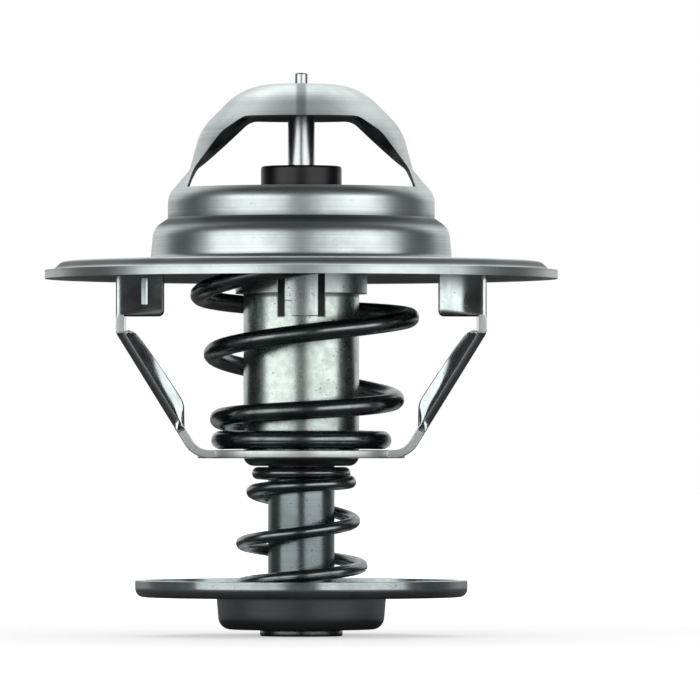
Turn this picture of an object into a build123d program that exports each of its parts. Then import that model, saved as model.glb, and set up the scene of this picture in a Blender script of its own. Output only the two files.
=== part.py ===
from build123d import *
import math
import os

# Engine thermostat insert with a bypass valve, shut and cold.
# Millimetres, +Z up along the axis. The origin lies on the axis, in the plane where the flange's lip seats.

# Housing: flange, stepped neck and bridge, drawn from one sheet
housing_sheet = 0.9
flange_radius = 27.0
lip_width = 0.85
joggle_run = 0.95
joggle_rise = 0.9
lower_neck_radius = 15.9
shoulder_radius = 15.55
shoulder_start = 5.3
shoulder_height = 6.35
upper_neck_radius = 14.05
neck_height = 8.75
arch_foot_radius = 11.75
arch_foot_height = 11.45
arch_knee_radius = 10.62
arch_knee_height = 15.7
bridge_height = 20.5
crown_radius = 6.05
crown_drop = 0.18
crown_flat_radius = 2.0
joggle_bend = 0.3
joggle_crest_bend = 1.0
neck_bend = 0.75
shoulder_bend = 2.0
seat_bend = 0.09
neck_top_bend = 2.2
arch_foot_bend = 1.6
arch_knee_bend = 6.0
crown_bend = 7.0
crown_flat_bend = 8.0

# Two windows punched straight through the dome, which leave the bridge and its two legs
window_sill = 9.5
window_base_half = 11.95
window_knee_half = 11.1
window_knee_height = 11.5
window_top_half = 5.5
bridge_band = 3.25
window_top_bend = 1.6
window_knee_bend = 2.5

# Piston pin, held in the bridge by its nib
pin_radius = 1.415
pin_tip = -9.0
pin_tip_round = 0.5
nib_radius = 0.67
nib_stand = 1.2
nib_chamfer = 0.2
nib_clearance = 0.03
pin_clearance = 0.04

# Wax capsule, with its rolled top that clamps the guide and the boot
capsule_radius = 6.09
capsule_wall = 0.7
capsule_bottom = -19.7
capsule_bottom_round = 1.1
rolled_radius = 7.7
rolled_height = 2.8
rolled_lip = 0.6
rolled_lip_radius = 6.3
rolled_round = 0.5
clamp_floor = 0.7

# Guide, boot, backing ring, wax and the black cap on the guide's neck
boot_flange = 0.6
boot_top_radius = 3.3
boot_tip_radius = 2.6
boot_tip_wall = 1.3
backing_ring_radius = 2.6
backing_ring_height = 0.7
guide_neck_radius = 3.2
guide_neck_top = 10.9
guide_neck_chamfer = 0.4
cap_radius = 4.25
cap_height = 3.55
cap_roof = 0.9
cap_round = 0.8
charge_clearance = 0.05

# Main valve: plate, collar with two tongues, and the rubber ring on its rim
valve_sheet = 0.8
valve_plate_radius = 13.5
valve_plate_drop = 0.5
collar_bend = 1.3
collar_bottom = -1.6
collar_fit = 0.05
tongue_width = 3.5
tongue_length = 2.4
tongue_slot = 0.7
tongue_slot_height = 2.0
tongue_notch = 0.7
tongue_notch_height = 1.6
seal_radius = 14.2
seal_inner_radius = 12.9
seal_crest_radius = 13.4
seal_drop = 0.05
seal_height = 2.2
seal_top_round = 0.3
seal_bottom_round = 0.5

# Lower frame: one bent strip that hangs from the flange and carries the main spring
frame_sheet = 0.85
frame_width = 12.0
leg_reach = 19.4
leg_bottom = -5.8
foot_reach = 11.3
crossbar_top = -18.04
leg_bend = 1.5
foot_bend = 3.0
wing_reach = 14.5
wing_bottom = -3.87
wing_round = 0.6
lip_depth = 2.15
lip_toe_share = 0.78
fold_round = 0.8
fold_tolerance = 0.001
bend_allowance = 0.25
spring_ledge = 1.4
capsule_guide_gap = 0.1
wing_slot_reach = 16.42
wing_slot_width = 0.65
wing_slot_top = -0.1
wing_slot_length = 2.7

# Inner line of the stiffening lip: share of the way down the slope, share of the lip's depth
lip_shares = ((0.067, 0.82), (0.20, 0.90), (0.42, 0.97), (0.62, 1.00))

# Main spring
main_wire = 1.93
main_base_radius = 9.5
main_top_radius = 12.6
main_bow = 0.7

# Bypass stem, its spring, the sliding disc and the retainer
stem_radius = 3.5
stem_spigot_radius = 2.4
bypass_wire = 1.3
bypass_top_radius = 5.2
bypass_base_radius = 7.0
disc_radius = 17.5
disc_sheet = 0.8
disc_bottom = -33.5
disc_rim_height = 1.8
disc_rim_bend = 0.1
cup_mouth_radius = 8.2
cup_floor_radius = 7.9
cup_depth = 3.4
cup_mouth_bend = 0.9
cup_floor_bend = 0.5
disc_slide_gap = 0.1
retainer_radius = 4.35
retainer_height = 0.7
retainer_fit = 0.03

# Both springs: how near an end coil lies to its seat, and how fine the coils are drawn
coil_seat_gap = 0.1
stations_per_turn = 8

# Levels that follow from the sizes above
bridge_underside = bridge_height - housing_sheet
shoulder_slope = (shoulder_height - shoulder_start) / (shoulder_radius - upper_neck_radius)
shoulder_depth = housing_sheet * math.hypot(1, shoulder_slope)
seal_crest_gap = (seal_crest_radius - upper_neck_radius) * shoulder_slope
seal_edge_gap = (seal_radius - upper_neck_radius) * shoulder_slope
seal_top = shoulder_height - shoulder_depth - seal_crest_gap - seal_drop
seal_edge_top = shoulder_height - shoulder_depth - seal_edge_gap - seal_drop
valve_plate_top = seal_top - valve_plate_drop
valve_plate_under = valve_plate_top - valve_sheet
rolled_top = valve_plate_top + rolled_height
clamp_level = valve_plate_top + clamp_floor
guide_seat = clamp_level + boot_flange
guide_base_top = rolled_top - rolled_lip
capsule_bore = capsule_radius - capsule_wall
clamp_radius = rolled_radius - capsule_wall
frame_bottom = crossbar_top - frame_sheet
disc_top = disc_bottom + disc_sheet
disc_rim_top = disc_bottom + disc_rim_height
disc_rim_inside = disc_radius - disc_sheet
cup_bottom = disc_bottom - cup_depth
cup_floor = cup_bottom + disc_sheet
full_turn = 360.0

# Rise of the main spring: turns from its lower end, share of the height, share of the widening
main_coil_turns = (
    (0.00, 0.000, 0.00), (0.60, 0.000, 0.00), (1.05, 0.110, 0.12), (1.55, 0.210, 0.30),
    (2.05, 0.446, 0.48), (2.55, 0.637, 0.74), (3.05, 0.752, 0.87), (3.30, 0.890, 0.94),
    (3.58, 1.000, 1.00), (4.25, 1.000, 1.00),
)
main_start_turn = 0.45

# Rise of the bypass spring, in the same terms; its spread shrinks from the disc to the capsule
bypass_coil_turns = (
    (0.00, 0.000, 0.00), (0.50, 0.000, 0.00), (1.00, 0.110, 0.00), (1.50, 0.215, 0.00),
    (2.00, 0.345, 0.00), (2.50, 0.505, 0.06), (3.00, 0.665, 0.44), (3.50, 0.868, 0.67),
    (4.00, 0.938, 0.67), (4.50, 1.000, 1.00), (5.10, 1.000, 1.00),
)
bypass_start_turn = 0.0


def upright(face):
    """Stand a face drawn as (radius, height) in the XZ plane."""
    return Plane.XZ * face


def turned(face):
    """Turn a section drawn as (radius, height) round the Z axis."""
    return revolve(upright(face), Axis.Z, full_turn)


def section(*corners):
    """Closed straight-sided section."""
    return make_face(Polyline(*corners, close=True))


def rounded(face, corner, radius):
    """Round the one corner of a section that lies at the given point."""
    vertex = face.vertices().sort_by_distance(Vector(*corner))[0]
    return fillet(vertex, radius)


def sheet(corners, radii, thickness):
    """Closed section of a bent sheet that lies on the left of its outer line."""
    outer = FilletPolyline(*corners, radius=radii)
    return make_face(outer.offset_2d(thickness, side=Side.LEFT, closed=True).edges())


def upright_cylinder(radius, low, high):
    """Cylinder round the Z axis between two levels."""
    return Pos(0, 0, (low + high) / 2) * Cylinder(radius, high - low)


def make_housing():
    """Draw the flange, the stepped neck and the dome, then punch the windows and the nib's hole."""
    top_of_flange = joggle_rise + housing_sheet
    lip_inner = flange_radius - lip_width
    corners = (
        (flange_radius, housing_sheet),
        (lip_inner, housing_sheet),
        (lip_inner - joggle_run, top_of_flange),
        (lower_neck_radius, top_of_flange),
        (shoulder_radius, shoulder_start),
        (upper_neck_radius, shoulder_height),
        (upper_neck_radius, neck_height),
        (arch_foot_radius, arch_foot_height),
        (arch_knee_radius, arch_knee_height),
        (crown_radius, bridge_height - crown_drop),
        (crown_flat_radius, bridge_height),
        (0, bridge_height),
    )
    bends = (
        joggle_bend, joggle_crest_bend, neck_bend, shoulder_bend, seat_bend,
        neck_top_bend, arch_foot_bend, arch_knee_bend, crown_bend, crown_flat_bend,
    )
    dome = turned(trimmed_to_axis(sheet(corners, bends, housing_sheet)))
    window = extrude(upright(window_face()), flange_radius, both=True)
    nib_hole = upright_cylinder(nib_radius + nib_clearance, window_sill, bridge_height + nib_stand)
    return dome - window - nib_hole


def trimmed_to_axis(face):
    """Cut off what an inset line leaves beyond the axis."""
    half_plane = Pos(flange_radius, 0) * Rectangle(2 * flange_radius, 4 * flange_radius)
    return face & half_plane


def window_face():
    """Outline of a window, seen from the front."""
    top = bridge_height - bridge_band
    right = (
        (window_base_half, window_sill),
        (window_knee_half, window_knee_height),
        (window_top_half, top),
    )
    left = tuple((-x, z) for x, z in reversed(right))
    face = section(*right, *left)
    for side in (-1, 1):
        face = rounded(face, (side * window_top_half, top), window_top_bend)
        face = rounded(face, (side * window_knee_half, window_knee_height), window_knee_bend)
    return face


def make_piston_pin():
    """Turned pin with a stepped nib at the top and a rounded tip in the boot."""
    nib_top = bridge_height + nib_stand
    shaft = upright_cylinder(pin_radius, pin_tip, bridge_underside)
    shaft = fillet(shaft.edges().group_by(Axis.Z)[0], pin_tip_round)
    nib = upright_cylinder(nib_radius, bridge_underside, nib_top)
    nib = chamfer(nib.edges().group_by(Axis.Z)[-1], nib_chamfer)
    return shaft + nib


def make_wax_capsule():
    """Drawn cup, widened at the top and rolled in over the guide."""
    inner_bottom = capsule_bottom + capsule_wall
    corners = (
        (0, capsule_bottom),
        (capsule_radius, capsule_bottom),
        (capsule_radius, valve_plate_top),
        (rolled_radius, valve_plate_top),
        (rolled_radius, rolled_top),
        (rolled_lip_radius, rolled_top),
        (rolled_lip_radius, guide_base_top),
        (clamp_radius, guide_base_top),
        (clamp_radius, clamp_level),
        (capsule_bore, clamp_level),
        (capsule_bore, inner_bottom),
        (0, inner_bottom),
    )
    face = section(*corners)
    face = rounded(face, (capsule_radius, capsule_bottom), capsule_bottom_round)
    face = rounded(face, (capsule_bore, inner_bottom), capsule_bottom_round - capsule_wall / 2)
    face = rounded(face, (rolled_radius, rolled_top), rolled_round)
    return turned(face)


def make_rubber_boot():
    """Closed rubber sleeve round the pin, with the flange that the guide clamps."""
    inner_radius = pin_radius + pin_clearance
    boot_bottom = pin_tip - boot_tip_wall
    outer = section(
        (0, boot_bottom),
        (boot_tip_radius, boot_bottom),
        (boot_top_radius, clamp_level),
        (clamp_radius - charge_clearance, clamp_level),
        (clamp_radius - charge_clearance, guide_seat),
        (0, guide_seat),
    )
    outer = rounded(outer, (boot_tip_radius, boot_bottom), boot_tip_wall)
    return turned(outer) - upright_cylinder(inner_radius, pin_tip - pin_clearance, guide_seat)


def make_wax_charge():
    """Wax that fills the capsule round the boot."""
    bottom = capsule_bottom + capsule_wall + charge_clearance
    radius = capsule_bore - charge_clearance
    corner_round = capsule_bottom_round - capsule_wall / 2
    fill = upright_cylinder(radius, bottom, clamp_level)
    fill = fillet(fill.edges().group_by(Axis.Z)[0], corner_round)
    boot_bottom = pin_tip - boot_tip_wall - charge_clearance
    hollow = section(
        (0, boot_bottom),
        (boot_tip_radius + charge_clearance, boot_bottom),
        (boot_top_radius + charge_clearance, clamp_level),
        (0, clamp_level),
    )
    return fill - turned(hollow)


def make_backing_ring():
    """Ring in the guide's counterbore that keeps the boot from creeping up the pin."""
    ring = upright_cylinder(backing_ring_radius, guide_seat, guide_seat + backing_ring_height)
    return ring - upright_cylinder(pin_radius + pin_clearance, guide_seat, guide_base_top)


def make_piston_guide():
    """Turned guide: a base under the rolled lip, and a neck that the pin slides in."""
    base = upright_cylinder(clamp_radius - charge_clearance, guide_seat, guide_base_top)
    neck = upright_cylinder(guide_neck_radius, guide_seat, guide_neck_top)
    neck = chamfer(neck.edges().group_by(Axis.Z)[-1], guide_neck_chamfer)
    bore = upright_cylinder(pin_radius + pin_clearance, guide_seat, guide_neck_top)
    counterbore = upright_cylinder(
        backing_ring_radius + charge_clearance, guide_seat, guide_seat + backing_ring_height
    )
    return base + neck - bore - counterbore


def make_guide_cap():
    """Black cap pressed over the guide's neck, with the pin's hole in its roof."""
    cap_top = guide_neck_top + charge_clearance + cap_roof
    body = upright_cylinder(cap_radius, cap_top - cap_height, cap_top)
    body = fillet(body.edges().group_by(Axis.Z)[-1], cap_round)
    hollow = upright_cylinder(
        guide_neck_radius + charge_clearance, cap_top - cap_height, guide_neck_top + charge_clearance
    )
    return body - hollow - upright_cylinder(pin_radius + 2 * pin_clearance, guide_base_top, cap_top)


def make_main_valve():
    """Drawn plate whose collar grips the capsule, with a long tongue at the front and the back."""
    inner = capsule_radius + collar_fit
    outer = inner + valve_sheet
    tongue_bottom = collar_bottom - tongue_length
    outline = (
        (valve_plate_radius, valve_plate_top),
        (inner, valve_plate_top),
        (inner, tongue_bottom),
    )
    valve = turned(sheet(outline, (collar_bend,), valve_sheet))
    clearing = upright_cylinder(valve_plate_radius, tongue_bottom, collar_bottom)
    strip = Pos(0, 0, tongue_bottom + tongue_length / 2) * Box(
        tongue_width, 4 * outer, 2 * tongue_length
    )
    valve = valve - (clearing - strip)
    slot_centre = (tongue_width + tongue_slot) / 2
    notch_centre = (tongue_width - tongue_notch) / 2
    notch = Box(tongue_notch, 2 * outer, tongue_notch_height)
    for side in (-1, 1):
        slot = Pos(side * slot_centre, 0, collar_bottom + tongue_slot_height / 2)
        valve = valve - slot * Box(tongue_slot, 4 * outer, tongue_slot_height)
        valve = valve - Pos(side * notch_centre, side * outer, tongue_bottom + tongue_notch_height / 2) * notch
    return valve


def make_valve_seal(valve):
    """Rubber ring moulded round the rim of the valve's plate."""
    bottom = seal_top - seal_height
    face = section(
        (seal_inner_radius, bottom),
        (seal_radius, bottom),
        (seal_radius, seal_edge_top),
        (seal_crest_radius, seal_top),
        (seal_inner_radius, seal_top),
    )
    face = rounded(face, (seal_radius, seal_edge_top), seal_top_round)
    face = rounded(face, (seal_radius, bottom), seal_bottom_round)
    return turned(face) - valve


def on_diagonal(share, depth):
    """Point on the leg's slope: a share of the way from knee to foot, set in by a depth."""
    run = foot_reach - leg_reach
    fall = frame_bottom - leg_bottom
    length = math.hypot(run, fall)
    x = leg_reach + share * run + depth * fall / length
    z = leg_bottom + share * fall - depth * run / length
    return x, z


def frame_lip_face():
    """Front view of one wing and of the stiffening lip below it, at the right-hand leg."""
    leg_inside = leg_reach - frame_sheet
    wing_top_corner = (wing_reach, joggle_rise)
    knee = (leg_inside, leg_bottom + frame_sheet)
    toe = on_diagonal(lip_toe_share, frame_sheet)
    lip = [on_diagonal(share, depth * lip_depth) for share, depth in lip_shares]
    inner = Polyline(wing_top_corner, (wing_reach, wing_bottom), (leg_inside, wing_bottom), knee)
    inner += Spline(knee, *lip, toe)
    outer = Polyline(
        toe, on_diagonal(lip_toe_share, 0), (leg_reach, leg_bottom), (leg_reach, joggle_rise), wing_top_corner
    )
    face = make_face(inner.edges() + outer.edges())
    return rounded(face, (wing_reach, wing_bottom), wing_round)


def make_lower_frame():
    """Bend the strip to a trough, add the folded wings and lips, then the seat round the capsule."""
    half_width = frame_width / 2
    corners = (
        (-leg_reach, joggle_rise),
        (-leg_reach, leg_bottom),
        (-foot_reach, frame_bottom),
        (foot_reach, frame_bottom),
        (leg_reach, leg_bottom),
        (leg_reach, joggle_rise),
    )
    strap = sheet(corners, (leg_bend, foot_bend, foot_bend, leg_bend), frame_sheet)
    frame = extrude(upright(strap), half_width, both=True)
    envelope = extrude(upright(filled_trough(corners)), half_width, both=True)
    lip = extrude(upright(frame_lip_face()), half_width, both=True)
    lip = lip - Box(4 * leg_reach, frame_width - 2 * frame_sheet, 4 * leg_reach)
    frame = frame + (lip & envelope) + (mirror(lip, Plane.YZ) & envelope)
    folds = [edge for edge in frame.edges() if is_fold(edge)]
    frame = fillet(folds, fold_round)
    seat_radius = main_base_radius + spring_ledge
    frame = frame + upright_cylinder(seat_radius, frame_bottom, crossbar_top)
    slot = Box(wing_slot_width, 2 * frame_sheet, wing_slot_length)
    for side in (-1, 1):
        place = Pos(side * wing_slot_reach, side * half_width, wing_slot_top - wing_slot_length / 2)
        frame = frame - place * slot
    return frame - upright_cylinder(capsule_radius + capsule_guide_gap, frame_bottom, crossbar_top)


def filled_trough(corners):
    """Everything inside the strip's outer line."""
    radii = (leg_bend, foot_bend, foot_bend, leg_bend)
    line = FilletPolyline(*corners, radius=radii)
    return make_face(line.edges() + Line(corners[-1], corners[0]).edges())


def is_fold(edge):
    """Tell the long outer folds of the wings and lips from the other edges."""
    middle = edge @ 0.5
    on_side = abs(abs(middle.Y) - frame_width / 2) < fold_tolerance
    on_leg = abs(abs(middle.X) - leg_reach) < fold_tolerance and middle.Z > leg_bottom
    share = (middle.Z - leg_bottom) / (frame_bottom - leg_bottom)
    slope_reach = on_diagonal(share, 0)[0]
    above_toe = on_diagonal(lip_toe_share, 0)[1] < middle.Z <= leg_bottom + leg_bend
    on_slope = abs(abs(middle.X) - slope_reach) < bend_allowance and above_toe
    return on_side and (on_leg or on_slope)


def blend(table, column, turn):
    """Read a coil's table between its rows, easing in and out of each row by the slopes beside it."""
    last = len(table) - 1
    row = max(i for i in range(last) if table[i][0] <= turn or i == 0)
    slopes = []
    for i in (row, row + 1):
        before, here, after = table[max(i - 1, 0)], table[i], table[min(i + 1, last)]
        level = before[column] == here[column] or here[column] == after[column]
        slopes.append(0 if level else (after[column] - before[column]) / (after[0] - before[0]))
    gap = table[row + 1][0] - table[row][0]
    s = (turn - table[row][0]) / gap
    start, end = table[row][column], table[row + 1][column]
    rise = (3 - 2 * s) * s * s
    bulge = s * (1 - s) * ((1 - s) * slopes[0] - s * slopes[1]) * gap
    return start + (end - start) * rise + bulge


def make_spring(table, start_turn, wire, low, high, base_radius, top_radius, bow):
    """Sweep the wire along a right-handed coil whose pitch and width follow its table."""
    steps = round(table[-1][0] * stations_per_turn)
    lower = low + wire / 2 + coil_seat_gap
    upper = high - wire / 2 - coil_seat_gap
    points = []
    for step in range(steps + 1):
        turn = table[-1][0] * step / steps
        share = blend(table, 1, turn)
        widening = blend(table, 2, turn)
        radius = base_radius + (top_radius - base_radius) * widening - wire / 2
        angle = 2 * math.pi * (start_turn + turn)
        lean = bow * math.sin(math.pi * share)
        height = lower + (upper - lower) * share
        points.append((radius * math.cos(angle) + lean, radius * math.sin(angle), height))
    path = Spline(*points)
    end = Plane(origin=path @ 0, z_dir=path % 0)
    return sweep(end * Circle(wire / 2), path=path, is_frenet=True)


def make_main_spring():
    """Conical spring from the frame's crossbar up to the valve's plate."""
    return make_spring(
        main_coil_turns, main_start_turn, main_wire, crossbar_top, valve_plate_under,
        main_base_radius, main_top_radius, main_bow,
    )


def make_bypass_spring():
    """Conical spring from the disc's cup up to the bottom of the capsule."""
    return make_spring(
        bypass_coil_turns, bypass_start_turn, bypass_wire, cup_floor, capsule_bottom,
        bypass_base_radius, bypass_top_radius, 0.0,
    )


def make_bypass_stem():
    """Stem under the capsule, stepped down at its end for the retainer."""
    stem = upright_cylinder(stem_radius, cup_bottom, capsule_bottom)
    return stem + upright_cylinder(stem_spigot_radius, cup_bottom - retainer_height, cup_bottom)


def make_bypass_disc():
    """Pressed disc with a turned-up rim, and a cup that holds the spring's foot."""
    corners = (
        (stem_radius + disc_slide_gap, cup_floor),
        (cup_floor_radius, cup_floor),
        (cup_mouth_radius, disc_top),
        (disc_rim_inside, disc_top),
        (disc_rim_inside, disc_rim_top),
    )
    bends = (cup_floor_bend, cup_mouth_bend, disc_rim_bend)
    outline = FilletPolyline(*corners, radius=bends)
    face = make_face(outline.offset_2d(disc_sheet, side=Side.RIGHT, closed=True).edges())
    return turned(face)


def make_retainer():
    """Ring pressed on the end of the stem."""
    low = cup_bottom - retainer_height
    ring = upright_cylinder(retainer_radius, low, cup_bottom)
    return ring - upright_cylinder(stem_spigot_radius + retainer_fit, low, cup_bottom)


def main():
    """Build every piece and write it."""
    valve = make_main_valve()
    pieces = {
        "housing": make_housing(),
        "lower_frame": make_lower_frame(),
        "piston_pin": make_piston_pin(),
        "main_spring": make_main_spring(),
        "wax_capsule": make_wax_capsule(),
        "rubber_boot": make_rubber_boot(),
        "wax_charge": make_wax_charge(),
        "backing_ring": make_backing_ring(),
        "piston_guide": make_piston_guide(),
        "guide_cap": make_guide_cap(),
        "main_valve": valve,
        "valve_seal": make_valve_seal(valve),
        "bypass_stem": make_bypass_stem(),
        "bypass_spring": make_bypass_spring(),
        "bypass_disc": make_bypass_disc(),
        "retainer": make_retainer(),
    }
    os.makedirs("parts", exist_ok=True)
    for name, piece in pieces.items():
        export_step(piece, f"parts/{name}.step")


main()
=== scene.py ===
import logging
import math
from collections.abc import Callable, Mapping, Sequence
from dataclasses import dataclass
from enum import Enum
from functools import cache
from typing import Any

import bpy
import numpy as np
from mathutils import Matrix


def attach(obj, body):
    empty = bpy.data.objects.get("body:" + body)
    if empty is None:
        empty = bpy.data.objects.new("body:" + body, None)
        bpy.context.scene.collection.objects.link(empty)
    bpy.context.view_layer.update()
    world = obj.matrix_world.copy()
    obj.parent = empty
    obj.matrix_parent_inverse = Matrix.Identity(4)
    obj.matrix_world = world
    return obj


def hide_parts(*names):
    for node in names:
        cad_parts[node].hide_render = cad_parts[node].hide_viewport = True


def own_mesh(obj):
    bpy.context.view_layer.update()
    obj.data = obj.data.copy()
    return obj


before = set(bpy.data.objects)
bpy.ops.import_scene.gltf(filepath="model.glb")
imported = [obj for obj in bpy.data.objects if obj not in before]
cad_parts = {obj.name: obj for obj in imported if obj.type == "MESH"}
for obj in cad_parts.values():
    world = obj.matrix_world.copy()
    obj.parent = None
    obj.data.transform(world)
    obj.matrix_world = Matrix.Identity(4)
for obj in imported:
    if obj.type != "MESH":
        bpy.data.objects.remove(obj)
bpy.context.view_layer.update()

logger = logging.getLogger("engine_thermostat")

# The geometry below is worked out in millimetres, in the CAD's frame, and becomes metres in the mesh.
MILLIMETRE = 0.001
# A length that counts as none, and the steps a millimetre of the grid on which points are merged.
TINY = 1e-6
MERGE_STEPS = 1e5

Corner = tuple[float, float]
Colour = tuple[float, float, float]
FaceChoice = Callable[[np.ndarray, np.ndarray], np.ndarray]


# Lines and surfaces


def unit(vectors: np.ndarray) -> np.ndarray:
    """Return each row of an array divided by its own length."""
    return vectors / np.linalg.norm(vectors, axis=-1, keepdims=True)


def rounded_line(
    corners: Sequence[Corner], bends: Sequence[float], run_steps: int = 5, arc_steps: int = 8
) -> np.ndarray:
    """Draw a line through corners, with its inner corners rounded.

    The arc of a corner touches both of its runs at radius * tan(turn / 2) from the corner, and turns
    round a centre one radius to the side that the line turns to. All lines with as many corners get
    as many points, so that the two faces of a bent sheet match point for point.

    Args:
        corners: Corners of the line, from end to end.
        bends: Radius at each inner corner.
        run_steps: Steps in each straight run.
        arc_steps: Steps in each arc.

    Returns:
        Points of the line, one row each.
    """
    spots = np.asarray(corners, float)
    ways = unit(np.diff(spots, axis=0))
    pieces = []
    start = spots[0]
    steps = np.linspace(0.0, 1.0, run_steps + 1)[:-1, None]
    for corner, before, after, bend in zip(spots[1:-1], ways[:-1], ways[1:], bends):
        turn = math.atan2(before[0] * after[1] - before[1] * after[0], before @ after)
        touch = corner - before * bend * math.tan(abs(turn) / 2)
        side = math.copysign(1.0, turn) * np.array([-before[1], before[0]])
        angles = np.linspace(0.0, abs(turn), arc_steps + 1)[:, None]
        arc = touch + bend * (np.sin(angles) * before + (1 - np.cos(angles)) * side)
        pieces += [start + (touch - start) * steps, arc[:-1]]
        start = arc[-1]
    pieces += [start + (spots[-1] - start) * steps, spots[-1:]]
    return np.concatenate(pieces)


@dataclass(frozen=True)
class BentSheet:
    """Section of a sheet bent along a line, which is the sheet's own thickness to the left of it."""

    corners: tuple[Corner, ...]
    bends: tuple[float, ...]
    thickness: float
    run_steps: int = 5
    arc_steps: int = 8
    least_bend: float = 0.02

    def face(self) -> np.ndarray:
        """Return the points of the line itself."""
        return rounded_line(self.corners, self.bends, self.run_steps, self.arc_steps)

    def back(self) -> np.ndarray:
        """Return the points of the sheet's other face, which match those of the line.

        Each corner moves by thickness * (n1 + n2) / (1 + n1 . n2), where n1 and n2 are the left-hand
        normals of its runs. A bend to the left loses the thickness from its radius, and a bend to
        the right gains it.

        Returns:
            The points, one row each.
        """
        spots = np.asarray(self.corners, float)
        ways = unit(np.diff(spots, axis=0))
        normals = np.stack([-ways[:, 1], ways[:, 0]], axis=1)
        both = normals[:-1] + normals[1:]
        mitres = both / (1 + np.sum(normals[:-1] * normals[1:], axis=1, keepdims=True))
        moves = np.concatenate([normals[:1], mitres, normals[-1:]])
        turns = ways[:-1, 0] * ways[1:, 1] - ways[:-1, 1] * ways[1:, 0]
        radii = np.maximum(np.asarray(self.bends) - np.sign(turns) * self.thickness, self.least_bend)
        return rounded_line(spots + moves * self.thickness, radii, self.run_steps, self.arc_steps)


def smooth_step(share: np.ndarray) -> np.ndarray:
    """Return shares from 0 to 1 eased at both ends, as 3 s^2 - 2 s^3."""
    clipped = np.clip(share, 0.0, 1.0)
    return clipped * clipped * (3 - 2 * clipped)


@dataclass
class Surface:
    """Points and faces of a closed surface, in millimetres."""

    points: np.ndarray
    faces: list[list[int]]
    corner_uv: np.ndarray | None = None

    def turned_half(self) -> "Surface":
        """Return the surface turned half a turn round the Z axis."""
        return Surface(self.points * np.array([-1.0, -1.0, 1.0]), self.faces)

    def joined(self, other: "Surface") -> "Surface":
        """Put two surfaces into one, each still closed by itself.

        Args:
            other: The second surface.

        Returns:
            Both as one.
        """
        shift = len(self.points)
        moved = [[corner + shift for corner in face] for face in other.faces]
        return Surface(np.concatenate([self.points, other.points]), self.faces + moved)


def outward(points: np.ndarray, quads: np.ndarray) -> np.ndarray:
    """Turn the quads over where their signed volume says that they face inwards.

    The volume is the sum over both triangles of each quad of a . (b x c) / 6.

    Args:
        points: Points of a closed surface.
        quads: Four point numbers for each face.

    Returns:
        The quads, which face outwards.
    """
    a, b, c, d = (points[quads[:, side]] for side in range(4))
    volume = np.sum(a * np.cross(b, c)) + np.sum(a * np.cross(c, d))
    return quads if volume > 0 else quads[:, ::-1]


def welded(points: np.ndarray, quads: np.ndarray) -> Surface:
    """Merge points that coincide, such as those of a pole, and close the surface there.

    Args:
        points: Points of the surface.
        quads: Four point numbers for each face.

    Returns:
        The surface, with triangles where a quad has lost a side and no faces without area.
    """
    keys = np.round(points * MERGE_STEPS).astype(np.int64)
    _, first, merged = np.unique(keys, axis=0, return_index=True, return_inverse=True)
    quads = merged.reshape(-1)[outward(points, quads)]
    lost = quads == np.roll(quads, -1, axis=1)
    crossed = (quads[:, 0] == quads[:, 2]) | (quads[:, 1] == quads[:, 3])
    whole = quads[(lost.sum(axis=1) == 0) & ~crossed]
    short = (lost.sum(axis=1) == 1) & ~crossed
    triangles = quads[short][~lost[short]].reshape(-1, 3)
    return Surface(points[first], whole.tolist() + triangles.tolist())


def shell(front: np.ndarray, back: np.ndarray, keep: np.ndarray, wrapped: bool) -> Surface:
    """Close a sheet between two grids, with walls wherever a kept cell borders on one that isn't.

    Args:
        front: Grid of points, rows by columns by 3.
        back: Grid of the same size on the sheet's other face.
        keep: Which cells of the grid belong to the sheet.
        wrapped: Whether the last column joins the first.

    Returns:
        The closed surface.
    """
    rows, columns = front.shape[:2]
    number = np.arange(rows * columns).reshape(rows, columns)
    if wrapped:
        number = np.concatenate([number, number[:, :1]], axis=1)
    a, b, c, d = number[:-1, :-1], number[:-1, 1:], number[1:, 1:], number[1:, :-1]
    under = rows * columns
    around = np.pad(keep, 1)
    if wrapped:
        around[1:-1, 0], around[1:-1, -1] = keep[:, -1], keep[:, 0]
    borders = (
        (a, b, around[:-2, 1:-1]), (b, c, around[1:-1, 2:]),
        (c, d, around[2:, 1:-1]), (d, a, around[1:-1, :-2]),
    )
    walls = [
        np.stack([end, start, start + under, end + under], axis=-1)[keep & ~beyond]
        for start, end, beyond in borders
    ]
    faces = [np.stack([a, b, c, d], axis=-1)[keep], np.stack([d, c, b, a], axis=-1)[keep] + under]
    points = np.concatenate([front.reshape(-1, 3), back.reshape(-1, 3)])
    return welded(points, np.concatenate(faces + walls))


def revolved(line: np.ndarray, angles: np.ndarray) -> np.ndarray:
    """Place a (radius, height) line at each angle: x = r cos a, y = r sin a, z = height.

    Args:
        line: Points of the line, one row each.
        angles: Angles in radians, either one list for all rows or one row of them for each point.

    Returns:
        Grid of points, with a row for each point of the line and a column for each angle.
    """
    spread = np.broadcast_to(angles, (len(line), np.shape(angles)[-1]))
    radius, height = line[:, :1], line[:, 1:]
    heights = np.broadcast_to(height, spread.shape)
    return np.stack([radius * np.cos(spread), radius * np.sin(spread), heights], axis=-1)


def turned(section: np.ndarray, columns: int = 96) -> Surface:
    """Turn a closed (radius, height) section round the Z axis.

    Args:
        section: Points of the section, in order. Those on the axis become poles.
        columns: Number of steps round the axis.

    Returns:
        The closed surface.
    """
    angles = np.linspace(0.0, 2 * math.pi, columns, endpoint=False)
    points = revolved(section, angles).reshape(-1, 3)
    number = np.arange(len(points)).reshape(len(section), columns)
    down, right = np.roll(number, -1, axis=0), np.roll(number, -1, axis=1)
    across = np.roll(down, -1, axis=1)
    quads = np.stack([number, right, across, down], axis=-1).reshape(-1, 4)
    on_axis = section[:, 0] < TINY
    flat = np.repeat(on_axis & np.roll(on_axis, -1), columns)
    return welded(points, quads[~flat])


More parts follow.
